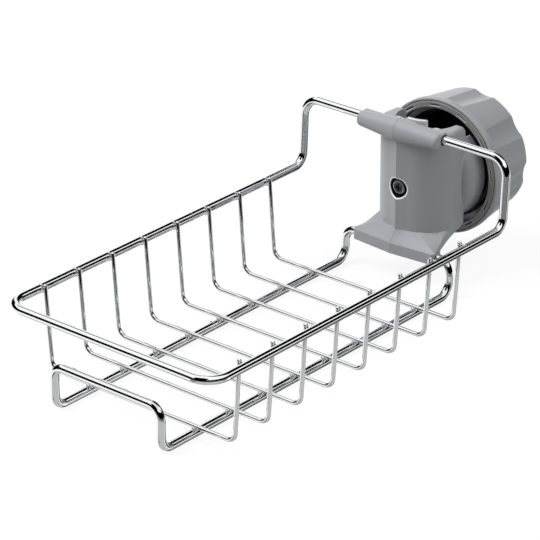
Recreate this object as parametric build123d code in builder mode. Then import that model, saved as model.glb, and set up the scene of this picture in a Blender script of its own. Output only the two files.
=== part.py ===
from build123d import *
import math
import os

# A wire basket for a sponge, clamped to the neck of a kitchen tap. Millimetres.
# +X is the basket's right side, +Y runs from the open front end to the knob, +Z is up.
# The origin lies on the table, under the middle of the whole object.

# Wire stock
frame_wire_d = 3.8
rib_wire_d = 2.0
weld_sink = 0.12

# Upper frame: the rim and the raised hoop at its back, measured between wire centres
rim_width = 110.0
rim_length = 187.3
rim_height = 37.8
hoop_height = 68.9
rim_corner_r = 9.5
hoop_foot_r = 6.0
hoop_corner_r = 8.0

# Lower frame: two rails, a raised crossbar at the front and a raised bar at the back
rail_width = 57.5
crossbar_height = 18.9
foot_bar_height = 15.2
front_bend_r = 5.5
foot_bend_r = 6.5

# Ribs
rib_count = 8
first_rib_from_front = 20.0
rib_pitch = 20.15
rib_floor_width = 99.2
rib_bend_r = 4.5
rib_nub = 0.5
rib_end_round = 0.3

# Clamp saddle, a U in plan round the tap's neck
neck_r = 10.1
pad_wall = 2.1
pad_grip_angle = 65.0
neck_clearance = 0.1
saddle_wall = 4.6
saddle_side_x = 19.2
saddle_side_start_y = 12.2
saddle_side_draft = 0.7
saddle_front_y = -2.0
saddle_ridge_y = -3.2
channel_web = 1.05
saddle_floor_above_bar = 1.7
saddle_floor_slope = 16.5
saddle_top_below_hoop = 0.5
shoulder_gap = 1.0
shoulder_corner_r = 3.5
saddle_top_round = 1.8

# Sleeve round the hoop's top bar
sleeve_half_length = 21.7
sleeve_end_r = 3.4
sleeve_middle_r = 5.4
sleeve_axis_y = -1.0
sleeve_back_wall = 1.4
sleeve_end_round = 1.3

# Foot round the lower frame's back bar
foot_end_overlap = 0.9
foot_front_wall = 1.1
foot_ridge = 2.0
foot_end_slant = 2.0
foot_back_y = 2.0
foot_floor_wall = 0.8
foot_roof_wall = 0.4
foot_corner_round = 1.6
flare_rise = 5.2
flare_ridge_x = 9.9
flare_side_y = 8.6

# Groove of the two wires and the locating spigot
groove_clearance = 0.05
spigot_wall = 1.3
spigot_depth = 1.5
spigot_clearance = 0.1

# Screw through the cover into the saddle's boss
screw_head_r = 3.5
screw_head_height = 1.7
screw_head_round = 1.3
screw_tip_chamfer = 0.5
screw_shank_r = 1.5
screw_tip_cover = 0.4
screw_head_gap = 0.8
screw_recess_edge = 0.55
screw_clearance = 0.2
screw_hole_clearance = 0.05
cross_width = 0.8
cross_span = 3.0
cross_depth = 0.8

# Pad in the saddle
pad_gap = 0.1
pad_end_inset = 0.6
pad_tab_start_x = -1.5
pad_tab_width = 9.0
pad_tab_thickness = 1.5
pad_tab_rise = 4.5
pad_tab_round = 0.6

# Thread shared by the saddle's legs and the knob
knob_axis_above_middle = 0.45
thread_pitch = 4.0
leg_thread_root_r = 22.0
leg_thread_crest_r = 23.3
thread_radial_clearance = 0.4
thread_ridge_foot = 1.9
thread_ridge_tip = 1.1
leg_collar_sink = 4.0
leg_collar_round = 6.0
leg_collar_gap = 0.5
leg_end_gap = 1.2
leg_thread_end_gap = 3.0
leg_end_chamfer = 0.9
closing_travel = 4.0

# Knob
knob_length = 26.5
collar_wall = 1.0
collar_length = 3.0
collar_step = 0.3
knob_wall = 4.4
knob_back_round = 0.8
collar_front_round = 0.7
knob_end_wall = 3.0
flute_count = 8
flute_phase = 36.3
flute_half_angle = 10.3
flute_depth = 1.35
flute_front_depth = 0.95
knob_thread_end_gap = 1.0
lead_in_length = 1.6
back_recess_r = 15.0
back_recess_depth = 0.8

# Pressure ring in the knob's mouth
ring_bore_gap = 3.6
ring_face_width = 3.0
ring_face_thickness = 1.9
ring_setback = 0.4
ring_skirt_wall = 1.0
ring_bead_height = 0.8
ring_bead_width = 1.0
ring_land_width = 1.6
ring_clearance = 0.3
ring_edge_round = 0.4
slot_count = 12
slot_phase = 6.0
slot_half_angle = 5.6
slot_inset = 1.15
slot_width = 0.7

overrun = 1.0

# Places worked out from the sizes above
wire_r = frame_wire_d / 2
rib_r = rib_wire_d / 2
ground_z = -wire_r
channel_front_y = frame_wire_d + groove_clearance + channel_web
ring_face_y = channel_front_y + pad_wall + 2 * neck_r + neck_clearance
knob_front_y = ring_face_y + ring_setback
knob_back_y = knob_front_y + knob_length
leg_end_y = knob_back_y - knob_end_wall - closing_travel - leg_end_gap
shoulder_y = ring_face_y - closing_travel - shoulder_gap
knob_axis_height = (hoop_height + foot_bar_height) / 2 + knob_axis_above_middle
saddle_top_height = hoop_height - saddle_top_below_hoop
saddle_floor_height = foot_bar_height + saddle_floor_above_bar
foot_half_length = rail_width / 2 - foot_bend_r + foot_end_overlap
foot_end_front_y = -frame_wire_d - foot_front_wall
foot_middle_front_y = foot_end_front_y - foot_ridge
foot_bottom_height = foot_bar_height - wire_r - foot_floor_wall
foot_crest_height = foot_bar_height + wire_r + foot_roof_wall
flare_top_height = foot_crest_height + flare_rise
ring_inner_r = leg_thread_crest_r + ring_bore_gap
ring_outer_r = ring_inner_r + ring_face_width
ring_skirt_r = ring_inner_r + ring_skirt_wall
ring_bead_r = ring_skirt_r + ring_bead_height
slot_inner_r = ring_inner_r + slot_inset
slot_outer_r = slot_inner_r + slot_width
knob_collar_r = ring_outer_r + ring_clearance + collar_wall
knob_bore_r = leg_thread_crest_r + thread_radial_clearance
knob_back_r = knob_bore_r + knob_wall
screw_tip_y = channel_front_y - screw_tip_cover
screw_recess_r = screw_head_r + screw_head_gap
spigot_r = screw_recess_r + spigot_wall
uprights_y = (rim_length + wire_r - knob_back_y) / 2


def height(above_rails):
    return above_rails - ground_z


def depth(behind_uprights):
    return behind_uprights + uprights_y


rim_z = height(rim_height)
hoop_z = height(hoop_height)
rail_z = height(0)
crossbar_z = height(crossbar_height)
foot_bar_z = height(foot_bar_height)
front_y = depth(-rim_length)
rim_back_y = depth(0)
parting_y = depth(0)
hoop_bar_y = parting_y + wire_r
foot_bar_y = parting_y - wire_r
knob_axis_z = height(knob_axis_height)
bracket_middle_z = (hoop_z + foot_bar_z) / 2
os.makedirs("parts", exist_ok=True)


def save(piece, name):
    piece.part.label = name
    export_step(piece.part, f"parts/{name}.step")


def bent_wire(points, radii, radius):
    # Half of a closed wire loop, from the middle of one bar to that of the other, and its mirror image.
    with BuildPart() as loop:
        with BuildLine() as route:
            FilletPolyline(*points, radius=radii)
        with BuildSketch(Plane(origin=route.line @ 0, z_dir=route.line % 0)):
            Circle(radius)
        sweep()
        mirror(about=Plane.YZ)
    return loop


# Upper frame, one loop of wire
rim_side_x = rim_width / 2
upper_frame = bent_wire(
    [
        (0, front_y, rim_z),
        (rim_side_x, front_y, rim_z),
        (rim_side_x, rim_back_y, rim_z),
        (rim_side_x, hoop_bar_y, hoop_z),
        (0, hoop_bar_y, hoop_z),
    ],
    [rim_corner_r, hoop_foot_r, hoop_corner_r],
    wire_r,
)
save(upper_frame, "upper_frame")

# Lower frame, one loop of wire
rail_x = rail_width / 2
lower_frame = bent_wire(
    [
        (0, front_y, crossbar_z),
        (rail_x, front_y, crossbar_z),
        (rail_x, front_y, rail_z),
        (rail_x, foot_bar_y, rail_z),
        (rail_x, foot_bar_y, foot_bar_z),
        (0, foot_bar_y, foot_bar_z),
    ],
    [front_bend_r, front_bend_r, foot_bend_r, foot_bend_r],
    wire_r,
)
save(lower_frame, "lower_frame")

# Ribs, U-shaped thin wires welded inside the rim and on top of the rails
rib_top_x = rim_side_x - wire_r - rib_r + weld_sink
rib_top_z = rim_z + wire_r + rib_nub
rib_floor_x = rib_floor_width / 2
rib_floor_z = rail_z + wire_r + rib_r - weld_sink


def make_rib(rib_y):
    with BuildPart() as rib:
        with BuildLine() as route:
            FilletPolyline(
                (-rib_top_x, rib_y, rib_top_z),
                (-rib_floor_x, rib_y, rib_floor_z),
                (rib_floor_x, rib_y, rib_floor_z),
                (rib_top_x, rib_y, rib_top_z),
                radius=rib_bend_r,
            )
        with BuildSketch(Plane(origin=route.line @ 0, z_dir=route.line % 0)):
            Circle(rib_r)
        sweep()
        cut_ends = rib.faces().filter_by(GeomType.PLANE)
        fillet(cut_ends.edges(), rib_end_round)
    return rib


for index in range(rib_count):
    rib_y = front_y + first_rib_from_front + index * rib_pitch
    save(make_rib(rib_y), f"rib_{index + 1}")

# Outer form of the plastic bracket, later split into the cover and the saddle at the wires
saddle_z1 = height(saddle_top_height)
saddle_front_rise = saddle_side_start_y - saddle_front_y
saddle_front_r = (saddle_side_x**2 + saddle_front_rise**2) / (2 * saddle_front_rise)
saddle_round_y = depth(saddle_front_y) + saddle_front_r
channel_r = saddle_side_x - saddle_wall
channel_round_y = depth(channel_front_y) + channel_r
shoulder_end_y = depth(shoulder_y)
flare_z = height(flare_top_height)
foot_z0 = height(foot_bottom_height)
foot_z1 = height(foot_crest_height)
sleeve_y = depth(sleeve_axis_y)
foot_back = depth(foot_back_y)
ridge_half_x = math.sqrt(saddle_front_r**2 - (saddle_round_y - parting_y) ** 2)
ridge_y = depth(saddle_ridge_y)
saddle_side_y = depth(saddle_side_start_y)
saddle_rear_x = saddle_side_x - saddle_side_draft
foot_root_x = foot_half_length - foot_end_slant


def foot_outline():
    # Plan of the foot: a shallow V in front, slanted ends, and sides that draw in to the column's.
    Polygon(
        (-saddle_side_x, saddle_side_y),
        (-foot_root_x, parting_y),
        (-foot_half_length, depth(foot_end_front_y)),
        (0, depth(foot_middle_front_y)),
        (foot_half_length, depth(foot_end_front_y)),
        (foot_root_x, parting_y),
        (saddle_side_x, saddle_side_y),
        align=None,
    )


# Column: in plan an arc at the front with a ridge on it, then two sides that draw in a little
with BuildPart() as column:
    with BuildSketch(Plane.XY.offset(foot_z0)):
        with BuildLine():
            ThreePointArc(
                (-saddle_side_x, saddle_side_y),
                (0, depth(saddle_front_y)),
                (saddle_side_x, saddle_side_y),
            )
            Polyline(
                (saddle_side_x, saddle_side_y),
                (saddle_rear_x, shoulder_end_y),
                (-saddle_rear_x, shoulder_end_y),
                (-saddle_side_x, saddle_side_y),
            )
        make_face()
        Polygon((-ridge_half_x, parting_y), (0, ridge_y), (ridge_half_x, parting_y), align=None)
    extrude(amount=saddle_z1 - foot_z0)

# Sloping underside of the column, from the back of the foot up to the shoulder
floor_run = shoulder_end_y + overrun - foot_back
floor_rise = floor_run * math.tan(math.radians(saddle_floor_slope))
saddle_floor_z = height(saddle_floor_height)
with BuildPart() as floor_wedge:
    with BuildSketch(Plane.YZ):
        Polygon(
            (foot_back, foot_z0 - overrun),
            (foot_back + floor_run, foot_z0 - overrun),
            (foot_back + floor_run, saddle_floor_z + floor_rise),
            (foot_back, saddle_floor_z),
            align=None,
        )
    extrude(amount=foot_half_length + overrun, both=True)

# Foot, with the flare that is ruled from its plan up to the column's front, its corners rounded together
flare_root_y = saddle_round_y - math.sqrt(saddle_front_r**2 - flare_ridge_x**2)
flare_back_y = depth(flare_side_y)
flare_side_x = math.sqrt(saddle_front_r**2 - (saddle_round_y - flare_back_y) ** 2)

with BuildPart() as foot_envelope:
    with BuildSketch(Plane.XY.offset(foot_z0 - overrun)):
        foot_outline()
    extrude(amount=flare_z - foot_z0 + 2 * overrun)
    end_corners = foot_envelope.edges().filter_by(Axis.Z).group_by(Axis.Y)[1]
    fillet(end_corners, foot_corner_round)

with BuildPart() as foot:
    with BuildSketch(Plane.XY.offset(foot_z1)):
        foot_outline()
    with BuildSketch(Plane.XY.offset(flare_z)):
        Polygon(
            (-saddle_side_x, saddle_side_y),
            (-flare_side_x, flare_back_y),
            (-flare_ridge_x, flare_root_y),
            (0, ridge_y),
            (flare_ridge_x, flare_root_y),
            (flare_side_x, flare_back_y),
            (saddle_side_x, saddle_side_y),
            align=None,
        )
    loft(ruled=True)
    with BuildSketch(Plane.XY.offset(foot_z0)):
        foot_outline()
    extrude(amount=foot_z1 - foot_z0)
    add(foot_envelope.part, mode=Mode.INTERSECT)


# Sleeve: two cones that meet at the middle in front of the wire, and a tube round the wire behind them
with BuildPart() as sleeve_front:
    with BuildSketch(Plane.XY.offset(hoop_z)):
        with Locations((0, sleeve_y)):
            Polygon(
                (-sleeve_half_length, 0),
                (-sleeve_half_length, -sleeve_end_r),
                (0, -sleeve_middle_r),
                (sleeve_half_length, -sleeve_end_r),
                (sleeve_half_length, 0),
                align=None,
            )
    revolve(axis=Axis((0, sleeve_y, hoop_z), (1, 0, 0)))
    sleeve_ends = sleeve_front.faces().filter_by(Axis.X).edges()
    fillet(sleeve_ends, sleeve_end_round)

with BuildPart() as sleeve_back:
    with BuildSketch(Plane.YZ.offset(-sleeve_half_length)):
        with Locations((hoop_bar_y, hoop_z)):
            Circle(wire_r + sleeve_back_wall)
    extrude(amount=2 * sleeve_half_length)
    fillet(sleeve_back.edges().filter_by(GeomType.CIRCLE), sleeve_back_wall / 2)

# The legs, two threaded segments that reach into the knob on either side of the neck
leg_end = depth(leg_end_y)
leg_root_y = shoulder_end_y - leg_collar_sink
knob_axis = Axis((0, 0, knob_axis_z), (0, 1, 0))
ridge_half_foot = thread_ridge_foot / 2
ridge_half_tip = thread_ridge_tip / 2


def thread_ridge(start_y, turns, foot_r, tip_r):
    # A right-handed ridge of trapezoid section that winds about the knob's axis, its foot sunk in its wall.
    with BuildPart() as ridge:
        with BuildLine() as route:
            Helix(
                thread_pitch,
                turns * thread_pitch,
                foot_r,
                center=(0, start_y, knob_axis_z),
                direction=(0, 1, 0),
            )
        start = route.line @ 0
        outward = Vector(start.X, 0, start.Z - knob_axis_z)
        with BuildSketch(Plane(origin=start, x_dir=outward, z_dir=route.line % 0)):
            Polygon(
                (0, -ridge_half_foot),
                (tip_r - foot_r, -ridge_half_tip),
                (tip_r - foot_r, ridge_half_tip),
                (0, ridge_half_foot),
                align=None,
            )
        sweep(is_frenet=True)
    return ridge


# Lengthwise places of the ring and the knob, which the legs' thread follows
ring_front = depth(ring_face_y)
ring_face_back = ring_front + ring_face_thickness
land_start = ring_face_back + ring_clearance
land_end = land_start + ring_land_width
bead_start = land_end + ring_clearance
bead_end = bead_start + ring_bead_width
groove_end = bead_end + ring_clearance
lead_in_end = groove_end + lead_in_length
knob_thread_y = lead_in_end + ridge_half_foot
leg_thread_y = knob_thread_y - thread_pitch / 2
leg_collar_end = lead_in_end - closing_travel - leg_collar_gap

thread_sink = thread_radial_clearance / 2
leg_thread_turns = (leg_end - leg_thread_y + ridge_half_foot - leg_thread_end_gap) / thread_pitch
leg_thread = thread_ridge(
    leg_thread_y,
    leg_thread_turns,
    leg_thread_root_r - thread_sink,
    leg_thread_crest_r,
)

# Envelope of the whole bracket
with BuildPart() as bracket:
    add(column.part)
    rear_corners = bracket.edges().filter_by(Axis.X).group_by(Axis.Y)[-1]
    fillet(rear_corners[-1], shoulder_corner_r)
    top_sides = bracket.edges().group_by(Axis.Z)[-1].filter_by(Axis.X, reverse=True)
    fillet(top_sides, saddle_top_round)
    add(foot.part)
    add(floor_wedge.part, mode=Mode.SUBTRACT)
    add(sleeve_front.part)
    add(sleeve_back.part)

leg_face = Plane(origin=(0, leg_root_y, knob_axis_z), x_dir=(1, 0, 0), z_dir=(0, 1, 0))
leg_length = leg_end - leg_root_y
with BuildPart() as legs:
    with BuildSketch(leg_face):
        Circle(leg_thread_crest_r)
    extrude(amount=leg_collar_end - leg_root_y)
    fillet(legs.edges().group_by(Axis.Y)[0], leg_collar_round)
    with BuildSketch(leg_face.offset(leg_collar_end - leg_root_y)):
        Circle(leg_thread_root_r)
    extrude(amount=leg_end - leg_collar_end)
    chamfer(legs.edges().group_by(Axis.Y)[-1], leg_end_chamfer)
    add(leg_thread.part)
    with BuildSketch(leg_face):
        Rectangle(2 * channel_r, 2 * leg_thread_crest_r + overrun)
    extrude(amount=leg_length, mode=Mode.SUBTRACT)

# Cuts that the cover and the saddle share: the two wires' grooves, the screw and the spigot's socket
groove_r = wire_r + groove_clearance
screw_z = bracket_middle_z
screw_face = Plane(origin=(0, parting_y, screw_z), x_dir=(1, 0, 0), z_dir=(0, -1, 0))
bracket_length = 2 * max(foot_half_length, sleeve_half_length) + 2 * overrun


def wire_groove(bar_y, bar_z):
    # Round groove for a bar, open as far as the parting plane so that the wire can be laid in.
    with BuildPart() as groove:
        with BuildSketch(Plane.YZ):
            with Locations((bar_y, bar_z)):
                Circle(groove_r)
            with Locations(((bar_y + parting_y) / 2, bar_z)):
                Rectangle(abs(bar_y - parting_y), 2 * groove_r)
        extrude(amount=bracket_length / 2, both=True)
    return groove


hoop_groove = wire_groove(hoop_bar_y, hoop_z)
foot_groove = wire_groove(foot_bar_y, foot_bar_z)

# Saddle: everything behind the parting plane, with the channel for the neck and the threaded legs
channel_height = hoop_z + sleeve_middle_r + overrun
with BuildPart() as clamp_saddle:
    add(bracket.part)
    split(bisect_by=Plane(origin=(0, parting_y, 0), z_dir=(0, 1, 0)), keep=Keep.TOP)
    with BuildSketch():
        with Locations((0, channel_round_y)):
            Circle(channel_r)
            Rectangle(2 * channel_r, leg_length + channel_r, align=(Align.CENTER, Align.MIN))
    extrude(amount=channel_height, mode=Mode.SUBTRACT)
    add(legs.part)
    add(hoop_groove.part, mode=Mode.SUBTRACT)
    add(foot_groove.part, mode=Mode.SUBTRACT)
    with BuildSketch(screw_face):
        Circle(spigot_r + spigot_clearance)
    extrude(amount=-spigot_depth - spigot_clearance, mode=Mode.SUBTRACT)
    with BuildSketch(screw_face):
        Circle(screw_shank_r + screw_hole_clearance)
    extrude(amount=-channel_r, mode=Mode.SUBTRACT)
save(clamp_saddle, "clamp_saddle")

# Cover: the half in front of the wires, with a spigot that centres it and a recess for the screw's head
ridge_depth = -saddle_ridge_y
with BuildPart() as front_cover:
    add(bracket.part)
    split(bisect_by=Plane(origin=(0, parting_y, 0), z_dir=(0, 1, 0)), keep=Keep.BOTTOM)
    with BuildSketch(screw_face):
        Circle(spigot_r)
    extrude(amount=-spigot_depth)
    add(hoop_groove.part, mode=Mode.SUBTRACT)
    add(foot_groove.part, mode=Mode.SUBTRACT)
    with BuildSketch(screw_face):
        Circle(screw_recess_r)
    extrude(amount=ridge_depth + overrun, mode=Mode.SUBTRACT)
    recess_edges = front_cover.edges(Select.LAST).filter_by(GeomType.LINE, reverse=True)
    mouth = recess_edges.filter_by(lambda edge: edge.center().Y < parting_y - screw_recess_edge)
    chamfer(mouth, screw_recess_edge)
    with BuildSketch(screw_face):
        Circle(screw_shank_r + screw_clearance)
    extrude(amount=-spigot_depth - overrun, mode=Mode.SUBTRACT)
save(front_cover, "front_cover")

# Screw with a domed head and a cross recess
screw_tip = depth(screw_tip_y)
with BuildPart() as cover_screw:
    with BuildSketch(screw_face):
        Circle(screw_head_r)
    extrude(amount=screw_head_height)
    head_rim = cover_screw.edges().filter_by(GeomType.CIRCLE).sort_by(Axis.Y)[0]
    fillet(head_rim, screw_head_round)
    with BuildSketch(screw_face):
        Circle(screw_shank_r)
    extrude(amount=parting_y - screw_tip)
    tip_edge = cover_screw.edges().filter_by(GeomType.CIRCLE).sort_by(Axis.Y)[-1]
    chamfer(tip_edge, screw_tip_chamfer)
    with BuildSketch(screw_face.offset(screw_head_height - cross_depth)):
        Rectangle(cross_span, cross_width)
        Rectangle(cross_width, cross_span)
    extrude(amount=cross_depth + overrun, mode=Mode.SUBTRACT)
save(cover_screw, "cover_screw")

# Pad: a lining of the channel with a round seat for the neck and a grip tab at its top
neck_y = depth(channel_front_y) + pad_wall + neck_r
pad_back_y = neck_y - neck_r * math.cos(math.radians(pad_grip_angle))
pad_r = channel_r - pad_gap
pad_z0 = saddle_floor_z + pad_end_inset
pad_z1 = saddle_z1 - pad_end_inset
pad_front_y = channel_round_y - pad_r
with BuildPart() as clamp_pad:
    with BuildSketch(Plane.XY.offset(pad_z0)):
        with Locations((0, channel_round_y)):
            Circle(pad_r)
        with Locations((0, pad_back_y)):
            Rectangle(2 * channel_r, 2 * channel_r, align=(Align.CENTER, Align.MIN), mode=Mode.SUBTRACT)
        with Locations((0, neck_y)):
            Circle(neck_r, mode=Mode.SUBTRACT)
    extrude(amount=pad_z1 - pad_z0)
    with BuildSketch(Plane.XY.offset(pad_z0)):
        with Locations((pad_tab_start_x, pad_front_y)):
            Rectangle(pad_tab_width, pad_r, align=(Align.MIN, Align.MIN))
        with Locations((0, channel_round_y)):
            Circle(pad_r, mode=Mode.INTERSECT)
            Circle(pad_r - pad_tab_thickness, mode=Mode.SUBTRACT)
    extrude(amount=pad_z1 - pad_z0 + pad_tab_rise)
    tab_corners = clamp_pad.edges().filter_by(Axis.Y).group_by(Axis.Z)[-1]
    fillet(tab_corners, pad_tab_round)
    add(Pos(0, 0, pad_end_inset) * floor_wedge.part, mode=Mode.SUBTRACT)
save(clamp_pad, "clamp_pad")

# Pressure ring: a flat face that bears on the neck, and a skirt that snaps into the knob
axis_plane = Plane.XY.offset(knob_axis_z)
ring_plane = Plane(origin=(0, ring_front, knob_axis_z), x_dir=(1, 0, 0), z_dir=(0, -1, 0))
slot_half_chord = ring_outer_r * math.tan(math.radians(slot_half_angle))
with BuildPart() as pressure_ring:
    with BuildSketch(axis_plane):
        Polygon(
            (ring_inner_r, ring_front),
            (ring_outer_r, ring_front),
            (ring_outer_r, ring_face_back),
            (ring_skirt_r, ring_face_back),
            (ring_skirt_r, bead_start),
            (ring_bead_r, bead_start),
            (ring_skirt_r, bead_end),
            (ring_inner_r, bead_end),
            align=None,
        )
    revolve(axis=knob_axis)
    face_rims = pressure_ring.edges().filter_by(GeomType.CIRCLE).group_by(Axis.Y)[0]
    fillet(face_rims, ring_edge_round)
    with BuildSketch(ring_plane.offset(overrun)):
        Circle(slot_outer_r)
        Circle(slot_inner_r, mode=Mode.SUBTRACT)
        with PolarLocations(0, slot_count, start_angle=slot_phase):
            Polygon(
                (0, 0),
                (ring_outer_r, -slot_half_chord),
                (ring_outer_r, slot_half_chord),
                align=None,
                mode=Mode.INTERSECT,
            )
    extrude(amount=-overrun - ring_face_thickness - ring_clearance / 2, mode=Mode.SUBTRACT)
save(pressure_ring, "pressure_ring")

# Knob: a cup with a plain collar, shallow flutes and a thread inside
knob_front = depth(knob_front_y)
knob_back = depth(knob_back_y)
collar_end = knob_front + collar_length
body_front_r = knob_collar_r - collar_step
knob_thread_tip_r = leg_thread_root_r + thread_radial_clearance
bore_end = knob_back - knob_end_wall
with BuildPart() as knob:
    with BuildSketch(axis_plane):
        Polygon(
            (0, knob_back),
            (knob_back_r, knob_back),
            (body_front_r, collar_end),
            (knob_collar_r, collar_end),
            (knob_collar_r, knob_front),
            (ring_outer_r + ring_clearance, knob_front),
            (ring_outer_r + ring_clearance, land_start),
            (ring_skirt_r + ring_clearance, land_start),
            (ring_skirt_r + ring_clearance, land_end),
            (ring_bead_r + ring_clearance, land_end),
            (ring_bead_r + ring_clearance, groove_end),
            (ring_inner_r, groove_end),
            (knob_bore_r, lead_in_end),
            (knob_bore_r, bore_end),
            (0, bore_end),
            align=None,
        )
    revolve(axis=knob_axis)
    fillet(knob.edges().filter_by(GeomType.CIRCLE).group_by(Axis.Y)[-1], knob_back_round)
    collar_rim = knob.edges().filter_by(GeomType.CIRCLE).group_by(Axis.Y)[0].sort_by(SortBy.RADIUS)[-1]
    fillet(collar_rim, collar_front_round)
    with BuildSketch(Plane(origin=(0, knob_back, knob_axis_z), x_dir=(1, 0, 0), z_dir=(0, 1, 0))):
        Circle(back_recess_r)
    extrude(amount=-back_recess_depth, mode=Mode.SUBTRACT)

# Each flute is a wide round groove along the taper, a little shallower in front, that stops at the collar.
# Its cutter leans with the taper, so it starts far enough behind the knob to cut the back edge through.
half_chord = knob_back_r * math.sin(math.radians(flute_half_angle))
chord_sink = flute_depth - knob_back_r * (1 - math.cos(math.radians(flute_half_angle)))
flute_r = (half_chord**2 + chord_sink**2) / (2 * chord_sink)
flute_climb = body_front_r - flute_front_depth - knob_back_r + flute_depth
taper = math.atan2(flute_climb, knob_back - collar_end)
flute_axis_r = knob_back_r - flute_depth + flute_r
flute_length = (knob_back - collar_end) / math.cos(taper)
flute_lead = overrun + flute_r * math.tan(taper)
for index in range(flute_count):
    flute_angle = math.radians(flute_phase + index * 360 / flute_count)
    outward = Vector(math.cos(flute_angle), 0, math.sin(flute_angle))
    run = outward * math.sin(taper) + Vector(0, -1, 0) * math.cos(taper)
    start = Vector(0, knob_back, knob_axis_z) + outward * flute_axis_r - run * flute_lead
    with BuildPart() as flute:
        with BuildSketch(Plane(origin=start, x_dir=run.cross(outward), z_dir=run)):
            Circle(flute_r)
        extrude(amount=flute_length + overrun)
    with knob:
        add(flute.part, mode=Mode.SUBTRACT)
knob_thread_turns = (bore_end - lead_in_end - thread_ridge_foot - knob_thread_end_gap) / thread_pitch
knob_thread = thread_ridge(
    knob_thread_y,
    knob_thread_turns,
    knob_bore_r + thread_sink,
    knob_thread_tip_r,
)
with knob:
    add(knob_thread.part)
save(knob, "knob")
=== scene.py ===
import math

import bpy
from mathutils import Matrix, Vector


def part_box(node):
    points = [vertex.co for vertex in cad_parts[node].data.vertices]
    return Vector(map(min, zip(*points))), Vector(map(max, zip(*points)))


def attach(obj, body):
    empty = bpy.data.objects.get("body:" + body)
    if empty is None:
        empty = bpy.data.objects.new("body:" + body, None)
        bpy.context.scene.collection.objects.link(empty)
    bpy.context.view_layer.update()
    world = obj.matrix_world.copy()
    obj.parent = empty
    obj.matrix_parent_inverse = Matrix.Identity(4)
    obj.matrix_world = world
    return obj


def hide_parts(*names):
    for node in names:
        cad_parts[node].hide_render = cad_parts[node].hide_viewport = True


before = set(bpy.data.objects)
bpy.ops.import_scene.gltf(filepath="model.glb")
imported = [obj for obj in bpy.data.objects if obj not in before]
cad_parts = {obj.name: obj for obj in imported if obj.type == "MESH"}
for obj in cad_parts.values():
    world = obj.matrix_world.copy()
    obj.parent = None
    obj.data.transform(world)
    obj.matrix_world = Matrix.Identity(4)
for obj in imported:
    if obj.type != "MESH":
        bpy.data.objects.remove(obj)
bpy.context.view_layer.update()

scene = bpy.context.scene

# Camera. It stands far off the basket's front right corner and looks down on it through a long lens,
# so that the basket runs away to the upper right and its wires stay nearly parallel.
camera_azimuth = math.radians(40.43)
camera_elevation = math.radians(25.29)
camera_roll = math.radians(-0.23)
camera_place = Vector((0.7711, -0.9250, 0.5973))
camera_lens = 211.04
camera_reach = 20.0

back = Vector(
    (
        math.sin(camera_azimuth) * math.cos(camera_elevation),
        -math.cos(camera_azimuth) * math.cos(camera_elevation),
        math.sin(camera_elevation),
    )
)
level_right = Vector((math.cos(camera_azimuth), math.sin(camera_azimuth), 0))
level_up = back.cross(level_right)
right = level_right * math.cos(camera_roll) + level_up * math.sin(camera_roll)
camera_turn = Matrix((right, back.cross(right), back)).transposed().to_4x4()
camera = bpy.data.objects.new("camera", bpy.data.cameras.new("camera"))
camera.data.lens = camera_lens
camera.data.clip_end = camera_reach
camera.matrix_world = Matrix.Translation(camera_place) @ camera_turn
scene.collection.objects.link(camera)
scene.camera = camera
scene.view_settings.view_transform = "Standard"

# Studio. A pale table under a white surround, with a broad soft key light from the upper left and a
# fill light from the upper right. The chrome also sees the table's tones, a black band along the
# horizon and black cards round the set, which draw the dark lines on the wires.
surround_level = 0.44
lamps = {
    "key": {"direction": (-0.48, -0.46, 0.75), "energy": 2.9, "spread": 35, "tint": (0.975, 0.98, 1.03)},
    "fill": {"direction": (0.55, 0.22, 0.80), "energy": 1.20, "spread": 32, "tint": (1.0, 1.0, 1.0)},
}
table_radius = 3.0
table_sides = 96
table_bounce = 0.40
table_white = 0.95
table_glow_share = 0.88
# A zone is an edge along one axis and its soft step. A band is a lower and an upper edge and their step.
left_zone = (-0.50, 0.08)
back_zone = (0.45, 0.10)
foot_zone = (-0.70, 0.06)
skyline = (0.0, 0.012)
gap_left_zone = (-0.45, 0.10)
gap_back_zone = (0.50, 0.10)
shade_band = (-0.37, 0.0, 0.03)
horizon_band = (-0.17, 0.50, 0.012)
open_tone = 0.95
side_tone = 0.50
foot_tone = 0.50
shade_tone = 0.20
# Each card is round: its azimuth from +X, its elevation and its half angle in degrees, and its tone.
card_soft = 0.004
cards = (
    (97, 46, 24, 0.0),
    (143, 42, 10, 0.05),
    (62, -27, 14, 0.03),
    (92, -52, 18, 0.06),
    (15, -13, 13, 0.08),
    (277, 46, 24, 0.0),
    (243, -39, 10, 0.02),
)


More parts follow.
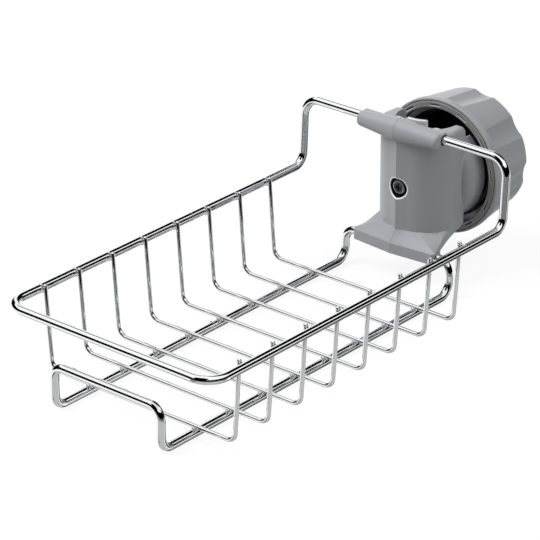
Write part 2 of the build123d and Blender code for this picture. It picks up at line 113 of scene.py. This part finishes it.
class Flow:
    """A value or colour on its way through a node tree, so that its maths reads as plain sums."""

    def __init__(self, wiring, socket):
        self.wiring = wiring
        self.socket = socket

    def math(self, operation, *others):
        sockets = dict(enumerate((self, *others)))
        return self.wiring.node("ShaderNodeMath", {"operation": operation}, sockets)

    def __add__(self, other):
        return self.math("ADD", other)

    def __mul__(self, other):
        return self.math("MULTIPLY", other)

    def __sub__(self, other):
        return self.math("SUBTRACT", other)

    def __rsub__(self, other):
        return self.wiring.node("ShaderNodeMath", {"operation": "SUBTRACT"}, {0: other, 1: self})

    def __abs__(self):
        return self.math("ABSOLUTE")

    __radd__ = __add__
    __rmul__ = __mul__

    def dot(self, other):
        """How far two unit vectors point the same way."""
        sockets = {0: self, 1: other}
        return self.wiring.node("ShaderNodeVectorMath", {"operation": "DOT_PRODUCT"}, sockets, out="Value")

    def past(self, edge, soft):
        """0 below the edge and 1 above it, with a soft step between."""
        sockets = {"Value": self, "From Min": edge - soft, "From Max": edge + soft}
        return self.wiring.node("ShaderNodeMapRange", {"interpolation_type": "SMOOTHSTEP"}, sockets)

    def under(self, edge, soft):
        """1 below the edge and 0 above it, with a soft step between."""
        return 1 - self.past(edge, soft)

    def between(self, low, high, soft):
        """1 from low to high and 0 outside, with soft steps."""
        return self.past(low, soft) * self.under(high, soft)


class Wiring:
    """A node tree that this script grows, node by node."""

    def __init__(self, tree):
        self.tree = tree

    def node(self, kind, settings=None, sockets=None, out=0):
        """Adds a node: its settings are set first, then its sockets, by name, number or identifier."""
        made = self.tree.nodes.new(kind)
        for name, value in (settings or {}).items():
            setattr(made, name, value)
        for name, value in (sockets or {}).items():
            self.feed(made, name, value)
        return Flow(self, made.outputs[out])

    def feed(self, node, name, value):
        """Links a flow to a socket, or sets the socket's own value."""
        by_identifier = [socket for socket in node.inputs if socket.identifier == name]
        socket = by_identifier[0] if by_identifier else node.inputs[name]
        if isinstance(value, Flow):
            self.tree.links.new(value.socket, socket)
        else:
            socket.default_value = value

    def mix(self, factor, first, second):
        """A colour between two."""
        sockets = {"Factor_Float": factor, "A_Color": first, "B_Color": second}
        return self.node("ShaderNodeMix", {"data_type": "RGBA"}, sockets, out=2)

    def axes(self, output="Object"):
        """The place as three numbers, and as one vector."""
        place = self.node("ShaderNodeTexCoord", out=output)
        split = self.tree.nodes.new("ShaderNodeSeparateXYZ")
        self.tree.links.new(place.socket, split.inputs[0])
        return [Flow(self, socket) for socket in split.outputs] + [place]


def grey(level):
    return (level, level, level, 1.0)


white = grey(1.0)
black = grey(0.0)
world = bpy.data.worlds.new("studio_surround")
world.use_nodes = True
scene.world = world
surround = Wiring(world.node_tree)
sky_x, sky_y, sky_z, sky = surround.axes("Generated")
open_side = sky_x.under(*left_zone).math("MAXIMUM", sky_y.past(*back_zone))
table_seen = surround.mix(open_side, grey(side_tone), grey(open_tone))
table_seen = surround.mix(sky_z.past(*foot_zone), grey(foot_tone), table_seen)
table_seen = surround.mix(sky_z.between(*shade_band) * (1 - open_side), table_seen, grey(shade_tone))
tone = surround.mix(sky_z.past(*skyline), table_seen, white)
gap = sky_x.under(*gap_left_zone) * sky_y.past(*gap_back_zone)
tone = surround.mix(sky_z.between(*horizon_band) * (1 - gap), tone, black)
for azimuth, elevation, half_angle, card_tone in cards:
    turn = math.radians(azimuth)
    rise = math.radians(elevation)
    aim = (math.cos(turn) * math.cos(rise), math.sin(turn) * math.cos(rise), math.sin(rise))
    on_card = sky.dot(aim).past(math.cos(math.radians(half_angle)), card_soft)
    tone = surround.mix(on_card, tone, grey(card_tone))
is_camera = surround.node("ShaderNodeLightPath", out="Is Camera Ray")
is_glossy = surround.node("ShaderNodeLightPath", out="Is Glossy Ray")
tone = surround.mix(is_glossy, grey(surround_level), tone)
tone = surround.mix(is_camera, tone, white)
surround.feed(world.node_tree.nodes["Background"], "Color", tone)

for lamp_name, lamp in lamps.items():
    light = bpy.data.objects.new(lamp_name, bpy.data.lights.new(lamp_name, "SUN"))
    light.data.energy = lamp["energy"]
    light.data.angle = math.radians(lamp["spread"])
    light.data.color = lamp["tint"]
    light.rotation_euler = Vector(lamp["direction"]).to_track_quat("Z", "Y").to_euler()
    scene.collection.objects.link(light)
    light.visible_glossy = False

table_mesh = bpy.data.meshes.new("table")
turns = [2 * math.pi * index / table_sides for index in range(table_sides)]
table_rim = [(table_radius * math.cos(turn), table_radius * math.sin(turn), 0) for turn in turns]
table_mesh.from_pydata(table_rim, [], [range(table_sides)])
table = bpy.data.objects.new("table", table_mesh)
table_paint = bpy.data.materials.new("table_paint")
table_paint.use_nodes = True
table_mesh.materials.append(table_paint)
scene.collection.objects.link(table)
table_wiring = Wiring(table_paint.node_tree)
table_paint.node_tree.nodes.remove(table_paint.node_tree.nodes["Principled BSDF"])
is_camera = table_wiring.node("ShaderNodeLightPath", out="Is Camera Ray")
table_tone = table_wiring.mix(is_camera, grey(table_bounce), grey(table_white))
matte = table_wiring.node("ShaderNodeBsdfDiffuse", sockets={"Color": table_tone})
glow = table_wiring.node("ShaderNodeEmission", sockets={"Color": white, "Strength": 1.0})
glow_sockets = {0: is_camera * table_glow_share, 1: matte, 2: glow}
table_surface = table_wiring.node("ShaderNodeMixShader", sockets=glow_sockets)
table_wiring.feed(table_paint.node_tree.nodes["Material Output"], "Surface", table_surface)
table.visible_glossy = False

# Upper frame. One loop of 3.8 mm steel wire, butt-welded on its left side and bright chromed: it
# makes the basket's rim and, bent up at the back, the raised hoop that the bracket hangs on.
wire_sides = 40
bend_steps = 18
rim_corner_r = 0.0095
hoop_foot_r = 0.0060
hoop_corner_r = 0.0080
chrome_tint = (0.95, 0.955, 0.965, 1)
chrome_roughness = 0.02
smudge_size = 260.0
smudge_depth = 0.02
noise_detail = 3.0
noise_roughness = 0.55


class Finish(Wiring):
    """One material: the principled shader with its plain values, and the nodes that vary it."""

    def __init__(self, name, tint, values):
        self.material = bpy.data.materials.new(name)
        self.material.use_nodes = True
        super().__init__(self.material.node_tree)
        self.shader = self.tree.nodes["Principled BSDF"]
        self.x, self.y, self.z, self.place = self.axes()
        self.colour = tint
        self.set("Base Color", tint)
        for socket, value in values.items():
            self.set(socket, value)

    def set(self, socket, value):
        self.feed(self.shader, socket, value)

    def paint(self, mask, tone):
        """Lays another tone over the colour where the mask is 1."""
        self.colour = self.mix(mask, self.colour, tone)
        self.set("Base Color", self.colour)

    def noise(self, scale, detail=noise_detail):
        sockets = {"Vector": self.place, "Scale": scale, "Detail": detail, "Roughness": noise_roughness}
        return self.node("ShaderNodeTexNoise", sockets=sockets)

    def bump(self, height, depth, normal):
        sockets = {"Height": height, "Distance": depth, "Normal": normal}
        return self.node("ShaderNodeBump", sockets=sockets)


def chrome_finish(name):
    """Bright chrome plate with faint smudges."""
    finish = Finish(name, chrome_tint, {"Metallic": 1.0})
    finish.set("Roughness", finish.noise(smudge_size) * smudge_depth + chrome_roughness)
    return finish.material


def geometry_tree(name, kinds):
    """A Geometry Nodes tree with named inputs for its sizes, and the flows that come from them."""
    tree = bpy.data.node_groups.new(name, "GeometryNodeTree")
    tree.interface.new_socket("Geometry", in_out="OUTPUT", socket_type="NodeSocketGeometry")
    for label, kind in kinds.items():
        tree.interface.new_socket(label, in_out="INPUT", socket_type="NodeSocket" + kind)
    wiring = Wiring(tree)
    entry = tree.nodes.new("NodeGroupInput")
    return wiring, {socket.name: Flow(wiring, socket) for socket in entry.outputs if socket.name}


def close_tree(wiring, shape, material):
    """Ends a tree: instances made real, smooth faces, the material."""
    real = wiring.node("GeometryNodeRealizeInstances", sockets={"Geometry": shape})
    smooth = wiring.node("GeometryNodeSetShadeSmooth", sockets={"Geometry": real})
    dressed = wiring.node("GeometryNodeSetMaterial", sockets={"Geometry": smooth, "Material": material})
    leave = wiring.tree.nodes.new("NodeGroupOutput")
    wiring.feed(leave, "Geometry", dressed)


def grow(name, seed_mesh, wiring, values):
    """The plain mesh that a tree makes from a seed mesh and its sizes."""
    grown = bpy.data.objects.new(name, seed_mesh)
    scene.collection.objects.link(grown)
    modifier = grown.modifiers.new("tree", "NODES")
    modifier.node_group = wiring.tree
    for item in wiring.tree.interface.items_tree:
        if item.name in values:
            modifier[item.identifier] = values[item.name]
    graph = bpy.context.evaluated_depsgraph_get()
    mesh = bpy.data.meshes.new_from_object(grown.evaluated_get(graph), depsgraph=graph)
    grown.modifiers.remove(modifier)
    grown.data = mesh
    return grown


def wire_route(name, corners, closed):
    """A route as a line mesh. Each corner is its place, its bend radius and its share of the full girth."""
    mesh = bpy.data.meshes.new(name)
    count = len(corners)
    edges = [(index, index + 1) for index in range(count - 1)]
    if closed:
        edges.append((count - 1, 0))
    mesh.from_pydata([corner[0] for corner in corners], edges, [])
    for label, column in (("bend", 1), ("girth", 2)):
        layer = mesh.attributes.new(label, "FLOAT", "POINT")
        layer.data.foreach_set("value", [corner[column] for corner in corners])
    return mesh


def route_value(wiring, label):
    """What a route holds at each of its corners under this label."""
    return wiring.node("GeometryNodeInputNamedAttribute", {"data_type": "FLOAT"}, {"Name": label})


# The tree bends a straight-sided route at its corners and draws the wire's round section along it.
wire_tree, sizes = geometry_tree(
    "bent_wire",
    {
        "Geometry": "Geometry",
        "Wire radius": "Float",
        "Wire sides": "Int",
        "Bend steps": "Int",
        "Copies": "Int",
        "Pitch": "Vector",
        "Finish": "Material",
    },
)
route = wire_tree.node("GeometryNodeMeshToCurve", sockets={"Mesh": sizes["Geometry"]})
bent = wire_tree.node(
    "GeometryNodeFilletCurve",
    {"mode": "POLY"},
    {"Curve": route, "Count": sizes["Bend steps"], "Radius": route_value(wire_tree, "bend")},
)
section = wire_tree.node(
    "GeometryNodeCurvePrimitiveCircle",
    sockets={"Resolution": sizes["Wire sides"], "Radius": sizes["Wire radius"]},
)
wire = wire_tree.node(
    "GeometryNodeCurveToMesh",
    sockets={
        "Curve": bent,
        "Profile Curve": section,
        "Scale": route_value(wire_tree, "girth"),
        "Fill Caps": True,
    },
)
places = wire_tree.node(
    "GeometryNodeMeshLine",
    {"mode": "OFFSET"},
    {"Count": sizes["Copies"], "Offset": sizes["Pitch"]},
)
row = wire_tree.node("GeometryNodeInstanceOnPoints", sockets={"Points": places, "Instance": wire})
close_tree(wire_tree, row, sizes["Finish"])

frame_low, frame_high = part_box("upper_frame")
lower_low, lower_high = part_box("lower_frame")
wire_r = (frame_high.y - lower_high.y) / 2
rim_x = frame_high.x - wire_r
rim_front_y = frame_low.y + wire_r
rim_z = frame_low.z + wire_r
hoop_y = frame_high.y - wire_r
hoop_z = frame_high.z - wire_r
rim_back_y = hoop_y - wire_r
frame_chrome = chrome_finish("frame_chrome")
frame_wire = {
    "Wire radius": wire_r,
    "Wire sides": wire_sides,
    "Bend steps": bend_steps,
    "Copies": 1,
    "Finish": frame_chrome,
}
upper_corners = [
    ((-rim_x, rim_front_y, rim_z), rim_corner_r, 1),
    ((rim_x, rim_front_y, rim_z), rim_corner_r, 1),
    ((rim_x, rim_back_y, rim_z), hoop_foot_r, 1),
    ((rim_x, hoop_y, hoop_z), hoop_corner_r, 1),
    ((-rim_x, hoop_y, hoop_z), hoop_corner_r, 1),
    ((-rim_x, rim_back_y, rim_z), hoop_foot_r, 1),
]
upper_loop = grow("upper_wire_loop", wire_route("upper_route", upper_corners, True), wire_tree, frame_wire)
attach(upper_loop, "holder")
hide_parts("upper_frame")

# Lower frame. A second loop of the same wire: two rails on the table, a crossbar that is raised at
# the front, and a raised bar at the back that the bracket's foot grips.
front_bend_r = 0.0055
foot_bend_r = 0.0065
foot_bar_drop = 0.0037
rail_x = lower_high.x - wire_r
rail_front_y = lower_low.y + wire_r
foot_y = lower_high.y - wire_r
rail_z = lower_low.z + wire_r
crossbar_z = lower_high.z - wire_r
foot_z = crossbar_z - foot_bar_drop
lower_corners = [
    ((-rail_x, rail_front_y, crossbar_z), front_bend_r, 1),
    ((rail_x, rail_front_y, crossbar_z), front_bend_r, 1),
    ((rail_x, rail_front_y, rail_z), front_bend_r, 1),
    ((rail_x, foot_y, rail_z), foot_bend_r, 1),
    ((rail_x, foot_y, foot_z), foot_bend_r, 1),
    ((-rail_x, foot_y, foot_z), foot_bend_r, 1),
    ((-rail_x, foot_y, rail_z), foot_bend_r, 1),
    ((-rail_x, rail_front_y, rail_z), front_bend_r, 1),
]
lower_loop = grow("lower_wire_loop", wire_route("lower_route", lower_corners, True), wire_tree, frame_wire)
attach(lower_loop, "holder")
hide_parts("lower_frame")

# Ribs. Eight thin U-shaped wires, resistance-welded inside the rim and on top of the rails, then
# chromed with the frames. Each end is rounded over and stands a little above the rim.
rib_count = 8
rib_bend_r = 0.0045
rib_floor_x = 0.0496
rib_lean = 0.00262
rib_sides = 28
dome_shares = ((0.00, 0.45), (0.10, 0.75), (0.30, 0.93), (0.60, 1.00))
rib_names = [f"rib_{index + 1}" for index in range(rib_count)]
rib_low, rib_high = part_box("rib_1")
rib_r = (rib_high.y - rib_low.y) / 2
rib_y = (rib_high.y + rib_low.y) / 2
rib_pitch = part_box("rib_2")[0].y - rib_low.y
rib_chrome = chrome_finish("rib_chrome")
rib_foot = Vector((rib_floor_x, rib_y, rib_low.z + rib_r))
rib_tip = Vector((rib_floor_x + rib_lean, rib_y, rib_high.z))
rib_side = (rib_tip - rib_foot).normalized()
right_end = [(rib_tip - rib_side * rib_r * down, 0.0, girth) for down, girth in dome_shares]
rib_corners = [(Vector((-place.x, place.y, place.z)), bend, girth) for place, bend, girth in right_end]
rib_corners.append((Vector((-rib_foot.x, rib_foot.y, rib_foot.z)), rib_bend_r, 1))
rib_corners.append((rib_foot, rib_bend_r, 1))
rib_corners.extend(reversed(right_end))
rib_wire = {
    "Wire radius": rib_r,
    "Wire sides": rib_sides,
    "Bend steps": bend_steps,
    "Copies": rib_count,
    "Pitch": Vector((0, rib_pitch, 0)),
    "Finish": rib_chrome,
}
ribs = grow("rib_wires", wire_route("rib_route", rib_corners, False), wire_tree, rib_wire)
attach(ribs, "holder")
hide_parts(*rib_names)

# Weld beads. Where a rib crosses a rail or meets the rim, the resistance weld leaves a small collar of
# steel; the two frame loops are closed by butt welds, each a thin ridge round the wire.
bead_grain = 3
rail_bead = (0.0016, 0.0014, 0.0006)
rim_bead_height = 0.0002
rim_bead_half_width = 0.0010
butt_half_width = 0.00045
butt_height = 0.00016
rim_butt_y = -0.0075
rail_butt_y = -0.0238
weld_tree, sizes = geometry_tree(
    "weld_bead", {"Geometry": "Geometry", "Half size": "Vector", "Grain": "Int", "Finish": "Material"}
)
ball = weld_tree.node("GeometryNodeMeshIcoSphere", sockets={"Radius": 1.0, "Subdivisions": sizes["Grain"]})
bead_row = weld_tree.node(
    "GeometryNodeInstanceOnPoints",
    sockets={"Points": sizes["Geometry"], "Instance": ball, "Scale": sizes["Half size"]},
)
close_tree(weld_tree, bead_row, sizes["Finish"])


def weld(name, half_size, spots):
    """One bead at each spot, all of one size."""
    mesh = bpy.data.meshes.new(name)
    mesh.from_pydata(spots, [], [])
    values = {"Half size": Vector(half_size), "Grain": bead_grain, "Finish": rib_chrome}
    beads = grow(name, mesh, weld_tree, values)
    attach(beads, "holder")


rib_rows = [rib_y + rib_pitch * index for index in range(rib_count)]
rail_spots = [(side * rail_x, row_y, rail_z + wire_r) for row_y in rib_rows for side in (-1, 1)]
rim_spot_x = rim_x - 2 * rim_bead_height
rim_spots = [(side * rim_spot_x, row_y, rim_z) for row_y in rib_rows for side in (-1, 1)]
rim_bead_r = wire_r + rim_bead_height
rim_bead = (rim_bead_r, rim_bead_half_width, rim_bead_r)
weld("rail_welds", rail_bead, rail_spots)
weld("rim_welds", rim_bead, rim_spots)
butt_r = wire_r + butt_height
butt_size = (butt_r, butt_half_width, butt_r)
weld("rim_butt_weld", butt_size, [(-(rim_x - butt_height), rim_butt_y, rim_z)])
weld("rail_butt_weld", butt_size, [(-rail_x, rail_butt_y, rail_z + butt_height)])

# Bracket. Two mouldings of grey satin plastic: the cover in front of the wires and the saddle behind
# them, which takes the tap's neck in its channel and carries the threaded legs.
plastic_tint = (0.305, 0.310, 0.322, 1)
plastic_roughness = 0.32
plastic_ior = 1.48
roughness_spread = 0.10
grain_size = 1500.0
grain_detail = 2.0
grain_depth = 0.00001
cloud_size = 60.0
cloud_detail = 4.0
cloud_share = 0.07
edge_radius = 0.00060
edge_samples = 8
edge_straight = 0.955
edge_soft = 0.03
edge_highlight_tone = (0.62, 0.63, 0.65, 1)
edge_highlight_share = 0.80
joint_reach = 0.0007
joint_soft = 0.0001
seam_half_width = 0.00016
seam_soft = 0.00012
seam_tone = (0.20, 0.205, 0.215, 1)
shade_black = (0.010, 0.010, 0.010, 1)
mask_soft = 0.00008
sleeve_end_x = 0.0213
sleeve_gap_r = 0.0024
foot_end_x = 0.0210
foot_gap_r = 0.00225
head_gap = 0.0008
recess_edge = 0.00085
recess_lip = 0.00022
recess_highlight_tone = (0.80, 0.81, 0.83, 1)
leg_shade_y = 0.0985
leg_shade_soft = 0.0015
screw_low, screw_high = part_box("cover_screw")
screw_z = (screw_low.z + screw_high.z) / 2
recess_r = (screw_high.x - screw_low.x) / 2 + head_gap


def distance(first, second):
    """How far a place lies from an axis, from its two offsets."""
    return (first * first + second * second).math("SQRT")


def moulded_finish(name, tint, roughness, joint_y=None, lights=edge_highlight_tone):
    """Satin moulded plastic: fine grain, a slightly clouded colour, and rounded edges that catch the light
    and carry a painted highlight in their colour, but for the edges at a close joint, where two pieces meet
    flush."""
    darker = tuple(channel * (1 - cloud_share) for channel in tint[:3]) + (1,)
    finish = Finish(name, darker, {"IOR": plastic_ior})
    finish.paint(finish.noise(cloud_size, cloud_detail), tint)
    grain = finish.noise(grain_size, grain_detail)
    finish.set("Roughness", grain * roughness_spread + (roughness - roughness_spread / 2))
    flat = finish.node("ShaderNodeNewGeometry", out="Normal")
    rounded = finish.node("ShaderNodeBevel", {"samples": edge_samples}, {"Radius": edge_radius})
    edge = flat.dot(rounded).under(edge_straight, edge_soft)
    if joint_y is not None:
        clear = 1 - finish.y.between(joint_y - joint_reach, joint_y + joint_reach, joint_soft)
        edge = edge * clear
        sockets = {"Factor_Float": clear, "A_Vector": flat, "B_Vector": rounded}
        rounded = finish.node("ShaderNodeMix", {"data_type": "VECTOR"}, sockets, out=1)
    # Painted highlight: the colour is lightened along the edges.
    finish.paint(edge * edge_highlight_share, lights)
    finish.set("Normal", finish.bump(grain, grain_depth, rounded))
    return finish


def dress(node, finish):
    """Puts a finish on a CAD node."""
    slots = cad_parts[node].data.materials
    slots.clear()
    slots.append(finish.material)


def shade_wire_gaps(finish):
    """Painted shade: a dark ring round each bar where it leaves the sleeve or the foot."""
    from_hoop = distance(finish.y - hoop_y, finish.z - hoop_z)
    from_foot = distance(finish.y - foot_y, finish.z - foot_z)
    hoop_gap_shade = from_hoop.under(sleeve_gap_r, mask_soft) * abs(finish.x).past(sleeve_end_x, mask_soft)
    foot_gap_shade = from_foot.under(foot_gap_r, mask_soft) * abs(finish.x).past(foot_end_x, mask_soft)
    finish.paint(hoop_gap_shade.math("MAXIMUM", foot_gap_shade), shade_black)


# The saddle's legs are painted dark as shade where they enter the knob.
bracket_plastic = moulded_finish("bracket_plastic", plastic_tint, plastic_roughness, rim_back_y)
shade_wire_gaps(bracket_plastic)
bracket_plastic.paint(bracket_plastic.y.past(leg_shade_y, leg_shade_soft), shade_black)
dress("clamp_saddle", bracket_plastic)

# The cover has a fine moulding seam down its middle. Round the screw it has a painted highlight on the
# edge and painted shade on the recess wall.
cover_plastic = moulded_finish("cover_plastic", plastic_tint, plastic_roughness, rim_back_y)
cover_plastic.paint(abs(cover_plastic.x).under(seam_half_width, seam_soft), seam_tone)
shade_wire_gaps(cover_plastic)
from_screw = distance(cover_plastic.x, cover_plastic.z - screw_z)
cover_plastic.paint(from_screw.under(recess_r + recess_edge, mask_soft), recess_highlight_tone)
cover_plastic.paint(from_screw.under(recess_r + recess_lip, mask_soft), shade_black)
dress("front_cover", cover_plastic)

# Cover screw. A blackened steel screw with a domed head and a cross recess. It sits in a round recess
# and holds the cover and the saddle together over the wires.
screw_tint = (0.03, 0.03, 0.032, 1)
screw_metallic = 0.6
screw_roughness = 0.18
screw_roughness_spread = 0.15
head_highlight_tone = (0.30, 0.31, 0.30, 1)
head_highlight_band = (0.0024, 0.0031, 0.0002)
screw_finish = Finish("black_oxide", screw_tint, {"Metallic": screw_metallic})
screw_finish.set("Roughness", screw_finish.noise(grain_size) * screw_roughness_spread + screw_roughness)
# A painted highlight: a lighter ring on the domed head.
head_highlight = distance(screw_finish.x, screw_finish.z - screw_z).between(*head_highlight_band)
screw_finish.paint(head_highlight, head_highlight_tone)
dress("cover_screw", screw_finish)

# Pad. A light rubber lining that is pressed into the saddle's channel, so that the clamp grips the
# neck and doesn't mark it. It has a small tab at its top.
pad_tint = (0.52, 0.52, 0.53, 1)
pad_edge_highlight = (0.88, 0.88, 0.89, 1)
pad_roughness = 0.50
# The pad's edges carry a lighter painted highlight.
dress("clamp_pad", moulded_finish("pad_rubber", pad_tint, pad_roughness, lights=pad_edge_highlight))

# Pressure ring. A slotted ring moulded of darker plastic that snaps into the knob's mouth. It bears on
# the neck and doesn't turn while the knob turns round it. Behind its front face it is painted black as
# shade.
ring_tint = (0.23, 0.226, 0.216, 1)
ring_edge_highlight = (0.75, 0.76, 0.78, 1)
ring_roughness = 0.40
ring_edge_depth = 0.0004
ring_front_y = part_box("pressure_ring")[0].y
# The ring's edges carry a lighter painted highlight.
ring_finish = moulded_finish("ring_plastic", ring_tint, ring_roughness, lights=ring_edge_highlight)
ring_finish.paint(ring_finish.y.past(ring_front_y + ring_edge_depth, mask_soft), shade_black)
dress("pressure_ring", ring_finish)

# Knob. A fluted cup moulded of the same grey plastic as the bracket. The thread inside it runs on the
# saddle's legs, so that a turn drives the ring against the neck. Its mouth and its bore are painted black
# as shade.
knob_bore_r = 0.0247
knob_back_wall = 0.0022
mouth_r = 0.03035
mouth_edge = 0.0003
mouth_depth = 0.0026
knob_low, knob_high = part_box("knob")
knob_axis_z = (knob_low.z + knob_high.z) / 2
knob_plastic = moulded_finish("knob_plastic", plastic_tint, plastic_roughness)
from_axis = distance(knob_plastic.x, knob_plastic.z - knob_axis_z)
before_back = knob_plastic.y.under(knob_high.y - knob_back_wall, mask_soft)
behind_lip = knob_plastic.y.between(knob_low.y + mouth_edge, knob_low.y + mouth_depth, mask_soft)
bore = from_axis.under(knob_bore_r, mask_soft) * before_back
mouth = from_axis.under(mouth_r, mask_soft) * behind_lip
knob_plastic.paint(bore.math("MAXIMUM", mouth), shade_black)
dress("knob", knob_plastic)
